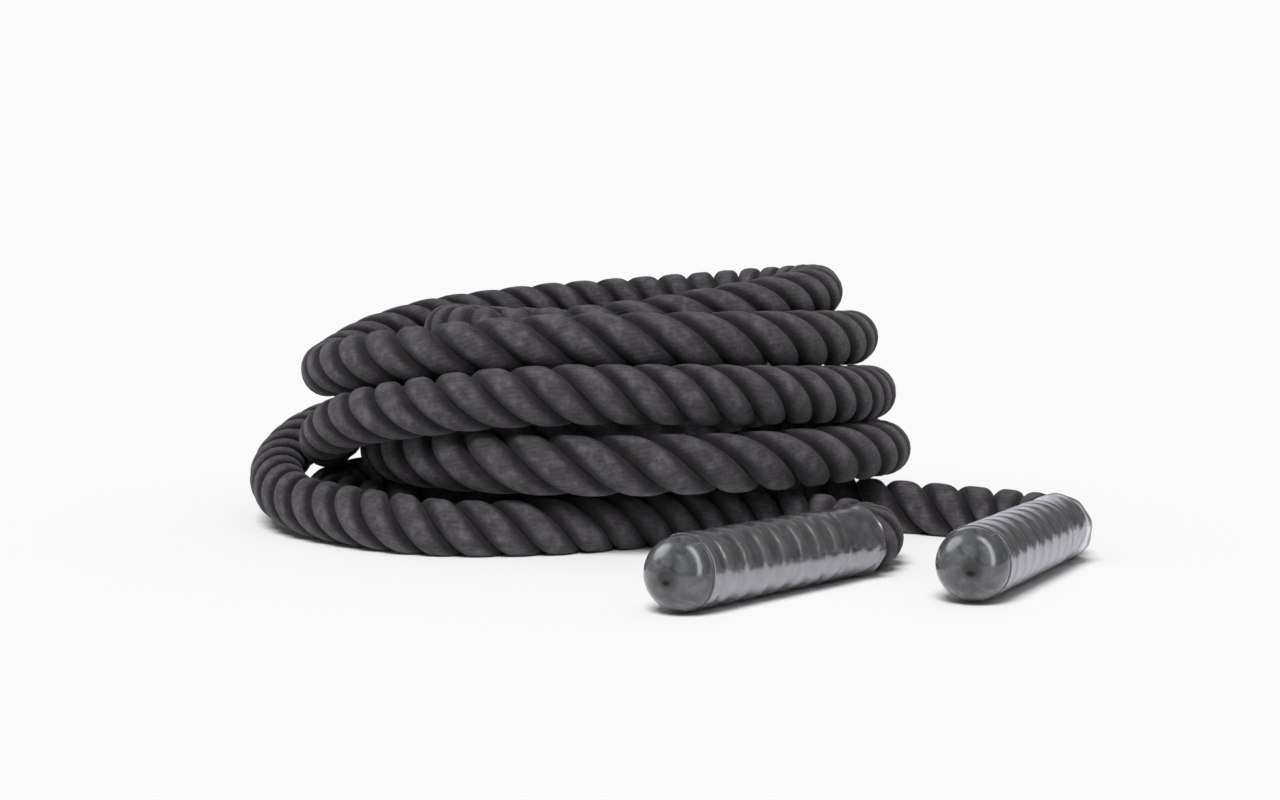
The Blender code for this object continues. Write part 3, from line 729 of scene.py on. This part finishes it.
cap_bump = add_node(tree, "ShaderNodeBump",
                    {"Height": speck.outputs["Fac"], "Distance": SPECK_RELIEF, "Strength": 0.5})
tree.links.new(cap_bump.outputs["Normal"], shader.inputs["Normal"])
for letter in ("a", "b"):
    cap = ringed_skin("domed_cap_" + letter, cap_rings(), False, letter)
    wear(cap, polished_rubber)
    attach(cap, "root")
    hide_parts("end_cap_" + letter)

# The clear covers.
# Each is a tube of clear PVC film that is shrunk over the new grip with hot air. It lies on the ribs,
# sags a little between them, and stands past the mouth as a loose skirt with a rolled rim.
COVER_WALL = 0.0004
COVER_RADIUS = RIB_RADIUS + PIECE_GAP + COVER_WALL
COVER_START = 0.002
# The film just clears the floor.
FILM_LOW = 0.0002
SKIRT_LENGTH = 0.036
# The skirt narrows to the rope with this much slack, and opens again sideways at its rim.
SKIRT_SLACK = 0.0008
SKIRT_RADIUS = ROPE_RADIUS + SKIRT_SLACK + COVER_WALL
SKIRT_FLARE = 0.0018
# How far along the skirt, how much of the flare, and how much of the way back to the floor.
SKIRT_RING_SHARES = [(0.0, 0.0, 1.0), (0.1, 0.0, 0.0), (0.55, 0.15, 0.2), (1.0, 1.0, 1.0)]
COVER_STEP = 0.0010
COVER_SAG = 0.0006
# Underneath, the hot air drew it nearly to the bottom of the grooves, in a band that this narrows.
UNDER_SAG = 0.0010
UNDER_NARROWNESS = 4
# Fine crinkles run slantwise round the tube, in waves that sway.
CRINKLE = 0.00012
CRINKLE_COUNT = 7
CRINKLE_SPACING = 0.0037
CRINKLE_SWAY = 3
# How far the crinkles and pleats turn round the tube, in radians in each rope diameter.
FILM_TWIST = 2
PLEAT = 0.0006
PLEAT_COUNT = 9
RIM_BEAD = 0.0004
RIM_BEAD_LENGTH = 0.0015


def skirt_shape(share):
    """Half width and half height of the skirt, this far along it."""
    shares, flares, settles = zip(*SKIRT_RING_SHARES)
    flare = np.interp(share, shares, flares)
    settle = np.interp(share, shares, settles)
    half_width = SKIRT_RADIUS + SKIRT_FLARE * flare
    half_height = SKIRT_RADIUS + (COVER_RADIUS - SKIRT_RADIUS) * settle
    if share < SKIRT_RING_SHARES[1][0]:
        half_width = half_height
    return half_width, half_height


def film_ring(distance, half_width, half_height, low):
    """An oval ring about the grip's axis, nowhere lower over the floor than the last value."""
    ring = round_ring(distance, 1)
    ring[:, 1] *= half_width
    ring[:, 2] = np.maximum(ring[:, 2] * half_height, low - GRIP_HEIGHT)
    return ring


def cover_rings(phase):
    """The film's outer skin from cap to rim, and its inner skin back."""
    angles = 2 * np.pi * np.arange(GRIP_SIDES) / GRIP_SIDES
    end = GRIP_LENGTH + SKIRT_LENGTH
    count = round((end - COVER_START) / COVER_STEP)
    outer = []
    inner = []
    for distance in np.linspace(COVER_START, end, count + 1):
        turning = angles + distance / ROPE_DIAMETER * FILM_TWIST
        sway = CRINKLE_SWAY * np.sin(2 * angles + phase)
        crinkle = np.sin(CRINKLE_COUNT * turning + phase) * np.sin(distance / CRINKLE_SPACING + sway)
        dent = CRINKLE * (1 + crinkle) / 2
        past_mouth = max((distance - GRIP_LENGTH) / SKIRT_LENGTH, 0)
        if past_mouth == 0:
            half_width = half_height = COVER_RADIUS
            underneath = np.maximum(-np.sin(angles), 0) ** UNDER_NARROWNESS
            sag = COVER_SAG + (UNDER_SAG - COVER_SAG) * underneath
            dent = dent + sag * (1 - rib_share(distance))
        else:
            half_width, half_height = skirt_shape(past_mouth)
            # The pleats open towards the rim.
            dent = dent + PLEAT * past_mouth * (1 + np.sin(PLEAT_COUNT * turning + 2 * phase)) / 2
        bead = RIM_BEAD * max(1 - (end - distance) / RIM_BEAD_LENGTH, 0)
        swell = bead - dent
        outer.append(film_ring(distance, half_width + swell, half_height + swell, FILM_LOW))
        inside = -dent - COVER_WALL
        inner.append(film_ring(distance, half_width + inside, half_height + inside,
                               FILM_LOW + COVER_WALL))
    return outer + inner[::-1]


# Clear PVC: see-through with a faint haze. Light mirrors from both faces of each wall and from the
# folds under it, so its mirror share starts above the 0.04 of a single face.
shrunk_film, tree, shader = new_material("shrunk_clear_pvc")
FILM_MIRROR_SHARE = 0.225
GRAZING_MIRROR_SHARE = 0.9
# The usual power for how a clear face mirrors more at a grazing angle.
GRAZING_POWER = 5
HAZE_PATCH = 0.006
WRINKLE_SIZE = 0.007
WRINKLE_RELIEF = 0.0006
HEM_WIDTH = 0.0025
HEM_START = GRIP_LENGTH + SKIRT_LENGTH - HEM_WIDTH
# Under the rope the skirt lies double: how low the fold starts and is full, and how much it hides.
FOLD_START = -0.86 * SKIRT_RADIUS
FOLD_FULL = -0.94 * SKIRT_RADIUS
FOLD_HAZE_SHARE = 0.55
place = add_node(tree, "ShaderNodeTexCoord")
split = add_node(tree, "ShaderNodeSeparateXYZ", {0: place.outputs["Object"]})
hem = add_node(tree, "ShaderNodeMapRange",
               {"Value": split.outputs["X"], "From Min": HEM_START,
                "From Max": HEM_START + HEM_WIDTH / 2},
               interpolation_type="SMOOTHSTEP")
past_mouth = add_node(tree, "ShaderNodeMapRange",
                      {"Value": split.outputs["X"], "From Min": GRIP_LENGTH,
                       "From Max": GRIP_LENGTH + HEM_WIDTH},
                      interpolation_type="SMOOTHSTEP")
under = add_node(tree, "ShaderNodeMapRange",
                 {"Value": split.outputs["Z"], "From Min": FOLD_START, "From Max": FOLD_FULL},
                 interpolation_type="SMOOTHSTEP")
fold = add_node(tree, "ShaderNodeMath", {0: past_mouth.outputs[0], 1: under.outputs[0]},
                operation="MULTIPLY")
thick = add_node(tree, "ShaderNodeMath", {0: hem.outputs[0], 1: fold.outputs[0]}, operation="MAXIMUM")
haze_noise = add_node(tree, "ShaderNodeTexNoise",
                      {"Vector": place.outputs["Object"], "Scale": 1 / HAZE_PATCH, "Detail": 4.0,
                       "Roughness": 0.65})
haze_level = add_node(tree, "ShaderNodeMapRange",
                      {"Value": haze_noise.outputs["Fac"], "From Min": 0.35, "From Max": 0.75,
                       "To Min": 0.02, "To Max": 0.10})
haze_share = add_node(tree, "ShaderNodeMath",
                      {0: thick.outputs[0], 1: FOLD_HAZE_SHARE, 2: haze_level.outputs[0]},
                      operation="MULTIPLY_ADD")
# Where the film is rolled or folded it looks dull and brownish, and elsewhere its haze is pale.
haze_colour = add_node(tree, "ShaderNodeMix",
                       {"Factor": thick.outputs[0], "A": linear("#b9b9bd"), "B": linear("#5c5b54")},
                       data_type="RGBA")
tree.links.new(haze_colour.outputs["Result"], shader.inputs["Base Color"])
shader.inputs["Roughness"].default_value = 0.5
clear_share = add_node(tree, "ShaderNodeBsdfTransparent", {"Color": linear("#f7f7f5")})
body = add_node(tree, "ShaderNodeMixShader",
                {0: haze_share.outputs[0], 1: clear_share.outputs[0], 2: shader.outputs[0]})
wrinkle = add_node(tree, "ShaderNodeTexNoise",
                   {"Vector": place.outputs["Object"], "Scale": 1 / WRINKLE_SIZE, "Detail": 3.0,
                    "Distortion": 0.8})
wrinkle_bump = add_node(tree, "ShaderNodeBump",
                        {"Height": wrinkle.outputs["Fac"], "Distance": WRINKLE_RELIEF,
                         "Strength": 0.6})
mirror = add_node(tree, "ShaderNodeBsdfGlossy",
                  {"Color": linear("#eeecf8"), "Roughness": 0.22,
                   "Normal": wrinkle_bump.outputs["Normal"]})
facing = add_node(tree, "ShaderNodeLayerWeight", {"Blend": 0.5})
grazing = add_node(tree, "ShaderNodeMath", {0: facing.outputs["Facing"], 1: GRAZING_POWER},
                   operation="POWER")
mirror_share = add_node(tree, "ShaderNodeMapRange",
                        {"Value": grazing.outputs[0], "To Min": FILM_MIRROR_SHARE,
                         "To Max": GRAZING_MIRROR_SHARE})
# Under the grip each rib is pressed against the film. It clings there, and the dark rubber shows:
# how deep between the ribs that ends, how low it starts and is full, and the mirror it takes away.
CLING_DEPTH = 0.4 * UNDER_SAG
CLING_START = -0.62 * COVER_RADIUS
CLING_FULL = -0.84 * COVER_RADIUS
CLING_SHARE = 0.95
cross_place = add_node(tree, "ShaderNodeVectorMath", {0: place.outputs["Object"], 1: (0, 1, 1)},
                       operation="MULTIPLY")
film_reach = add_node(tree, "ShaderNodeVectorMath", {0: cross_place.outputs[0]}, operation="LENGTH")
on_rib = add_node(tree, "ShaderNodeMapRange",
                  {"Value": film_reach.outputs["Value"], "From Min": COVER_RADIUS - UNDER_SAG,
                   "From Max": COVER_RADIUS - CLING_DEPTH},
                  interpolation_type="SMOOTHSTEP")
pressed_low = add_node(tree, "ShaderNodeMapRange",
                       {"Value": split.outputs["Z"], "From Min": CLING_START, "From Max": CLING_FULL},
                       interpolation_type="SMOOTHSTEP")
pressed = add_node(tree, "ShaderNodeMath", {0: on_rib.outputs[0], 1: pressed_low.outputs[0]},
                   operation="MULTIPLY")
loose = add_node(tree, "ShaderNodeMath", {0: pressed.outputs[0], 1: -CLING_SHARE, 2: 1.0},
                 operation="MULTIPLY_ADD")
loose_share = add_node(tree, "ShaderNodeMath", {0: mirror_share.outputs[0], 1: loose.outputs[0]},
                       operation="MULTIPLY")
surface = add_node(tree, "ShaderNodeMixShader",
                   {0: loose_share.outputs[0], 1: body.outputs[0], 2: mirror.outputs[0]})
tree.links.new(surface.outputs[0], tree.nodes["Material Output"].inputs["Surface"])
# The two films are crinkled in unlike places.
CRINKLE_PHASES = {"a": 0.0, "b": 2.1}
for letter, phase in CRINKLE_PHASES.items():
    cover = ringed_skin("clear_film_" + letter, cover_rings(phase), True, letter)
    wear(cover, shrunk_film)
    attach(cover, "root")
    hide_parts("clear_cover_" + letter)

# The floor and the studio.
# White seamless paper on a flat floor, which runs back far behind the rope. A wide soft light over
# the camera and a pale room light it evenly.
studio_floor, tree, shader = new_material("white_paper_floor")
PAPER_FIBRE = 0.004
place = add_node(tree, "ShaderNodeTexCoord")
paper = add_node(tree, "ShaderNodeTexNoise",
                 {"Vector": place.outputs["Object"], "Scale": 1 / PAPER_FIBRE, "Detail": 2.0})
paper_colour = add_node(tree, "ShaderNodeMix",
                        {"Factor": paper.outputs["Fac"], "A": linear("#fafafa"), "B": linear("#fcfcfc")},
                        data_type="RGBA")
tree.links.new(paper_colour.outputs["Result"], shader.inputs["Base Color"])
shader.inputs["Roughness"].default_value = 0.9
shader.inputs["Specular IOR Level"].default_value = 0.0
FLOOR_HALF_WIDTH = 30
floor_mesh = bpy.data.meshes.new("studio_floor")
floor_corners = [(-FLOOR_HALF_WIDTH, -FLOOR_HALF_WIDTH, 0), (FLOOR_HALF_WIDTH, -FLOOR_HALF_WIDTH, 0),
                 (FLOOR_HALF_WIDTH, FLOOR_HALF_WIDTH, 0), (-FLOOR_HALF_WIDTH, FLOOR_HALF_WIDTH, 0)]
floor_mesh.from_pydata(floor_corners, [], [(0, 1, 2, 3)])
floor = bpy.data.objects.new("studio_floor", floor_mesh)
bpy.context.collection.objects.link(floor)
wear(floor, studio_floor)

# The backdrop is white to the eye and behind the rope, the room on the camera's side is dim, and
# glossy faces also mirror two softboxes.
BACKDROP_LEVEL = 0.96
AMBIENT_LEVEL = 0.24
ROOM_LEVEL = 0.11
# A soft edge is two cosines of the angle from a light's middle: where it ends, and where it is full.
BACKDROP_EDGE = (0.80, 0.97)
world = bpy.data.worlds.new("studio")
world.use_nodes = True
bpy.context.scene.world = world
tree = world.node_tree
background = tree.nodes["Background"]
rays = add_node(tree, "ShaderNodeLightPath")
seen_through = add_node(tree, "ShaderNodeMath",
                        {0: rays.outputs["Is Camera Ray"], 1: rays.outputs["Is Transmission Ray"]},
                        operation="MAXIMUM")
plain_level = add_node(tree, "ShaderNodeMapRange",
                       {"Value": seen_through.outputs[0], "To Min": AMBIENT_LEVEL,
                        "To Max": BACKDROP_LEVEL})
direction = add_node(tree, "ShaderNodeTexCoord")
depth = add_node(tree, "ShaderNodeSeparateXYZ", {0: direction.outputs["Generated"]})
mirrored = add_node(tree, "ShaderNodeMapRange",
                    {"Value": depth.outputs["Y"], "From Min": BACKDROP_EDGE[0],
                     "From Max": BACKDROP_EDGE[1], "To Min": ROOM_LEVEL, "To Max": BACKDROP_LEVEL},
                    interpolation_type="SMOOTHSTEP")
# A broad softbox at the back left.
BROAD_BOX_TOWARD = (-0.65, 0.33, 0.68)
BROAD_BOX_EDGE = (0.90, 0.97)
BROAD_BOX_LEVEL = 3.5
near_box = add_node(tree, "ShaderNodeVectorMath",
                    {0: direction.outputs["Generated"], 1: BROAD_BOX_TOWARD}, operation="DOT_PRODUCT")
broad_light = add_node(tree, "ShaderNodeMapRange",
                       {"Value": near_box.outputs["Value"], "From Min": BROAD_BOX_EDGE[0],
                        "From Max": BROAD_BOX_EDGE[1], "To Max": BROAD_BOX_LEVEL},
                       interpolation_type="SMOOTHSTEP")
# A tall strip light at the front right, which leans from the floor to over the rope: the plane that
# it lies in, its middle, the soft edge of its ends, and how far off the plane it ends and is full.
STRIP_PLANE_NORMAL = (0.607, 0.751, -0.258)
STRIP_TOWARD = (0.69, -0.34, 0.64)
STRIP_END_EDGE = (0.62, 0.85)
STRIP_HALF_WIDTHS = (0.15, 0.08)
STRIP_LEVEL = 6.5
off_plane = add_node(tree, "ShaderNodeVectorMath",
                     {0: direction.outputs["Generated"], 1: STRIP_PLANE_NORMAL},
                     operation="DOT_PRODUCT")
off_strip = add_node(tree, "ShaderNodeMath", {0: off_plane.outputs["Value"]}, operation="ABSOLUTE")
in_strip = add_node(tree, "ShaderNodeMapRange",
                    {"Value": off_strip.outputs[0], "From Min": STRIP_HALF_WIDTHS[0],
                     "From Max": STRIP_HALF_WIDTHS[1]},
                    interpolation_type="SMOOTHSTEP")
near_strip = add_node(tree, "ShaderNodeVectorMath",
                      {0: direction.outputs["Generated"], 1: STRIP_TOWARD}, operation="DOT_PRODUCT")
strip_end = add_node(tree, "ShaderNodeMapRange",
                     {"Value": near_strip.outputs["Value"], "From Min": STRIP_END_EDGE[0],
                      "From Max": STRIP_END_EDGE[1], "To Max": STRIP_LEVEL},
                     interpolation_type="SMOOTHSTEP")
strip_light = add_node(tree, "ShaderNodeMath", {0: in_strip.outputs[0], 1: strip_end.outputs[0]},
                       operation="MULTIPLY")
boxes_light = add_node(tree, "ShaderNodeMath", {0: strip_light.outputs[0], 1: broad_light.outputs[0]},
                       operation="MAXIMUM")
mirrored = add_node(tree, "ShaderNodeMath", {0: mirrored.outputs[0], 1: boxes_light.outputs[0]},
                    operation="MAXIMUM")
level = add_node(tree, "ShaderNodeMix",
                 {"Factor": rays.outputs["Is Glossy Ray"], "A": plain_level.outputs[0],
                  "B": mirrored.outputs[0]},
                 data_type="FLOAT")
background.inputs["Color"].default_value = (1, 1, 1, 1)
tree.links.new(level.outputs["Result"], background.inputs["Strength"])

# The wide soft light over the camera.
KEY_STRENGTH = 2.95
KEY_SPREAD = math.radians(28)
KEY_PITCH = math.radians(35)
KEY_LEAN = math.radians(-12)
key_data = bpy.data.lights.new("key", "SUN")
key_data.energy = KEY_STRENGTH
key_data.angle = KEY_SPREAD
key = bpy.data.objects.new("key", key_data)
key.rotation_euler = (KEY_PITCH, KEY_LEAN, 0)
key.visible_glossy = False
bpy.context.collection.objects.link(key)

# The camera.
# A long normal lens, low in front of the pile and a little above it.
CAMERA_PLACE = (-0.0002, -1.3182, 0.19)
CAMERA_PITCH = math.radians(4.35)
SENSOR_WIDTH_MM = 36
PICTURE_WIDTH_PX = 1280
FOCAL_PX = 1972
camera_data = bpy.data.cameras.new("camera")
camera_data.sensor_width = SENSOR_WIDTH_MM
camera_data.lens = FOCAL_PX / PICTURE_WIDTH_PX * SENSOR_WIDTH_MM
camera = bpy.data.objects.new("camera", camera_data)
camera.location = CAMERA_PLACE
camera.rotation_euler = (math.pi / 2 - CAMERA_PITCH, 0, 0)
bpy.context.collection.objects.link(camera)
bpy.context.scene.camera = camera
bpy.context.scene.view_settings.view_transform = "Standard"
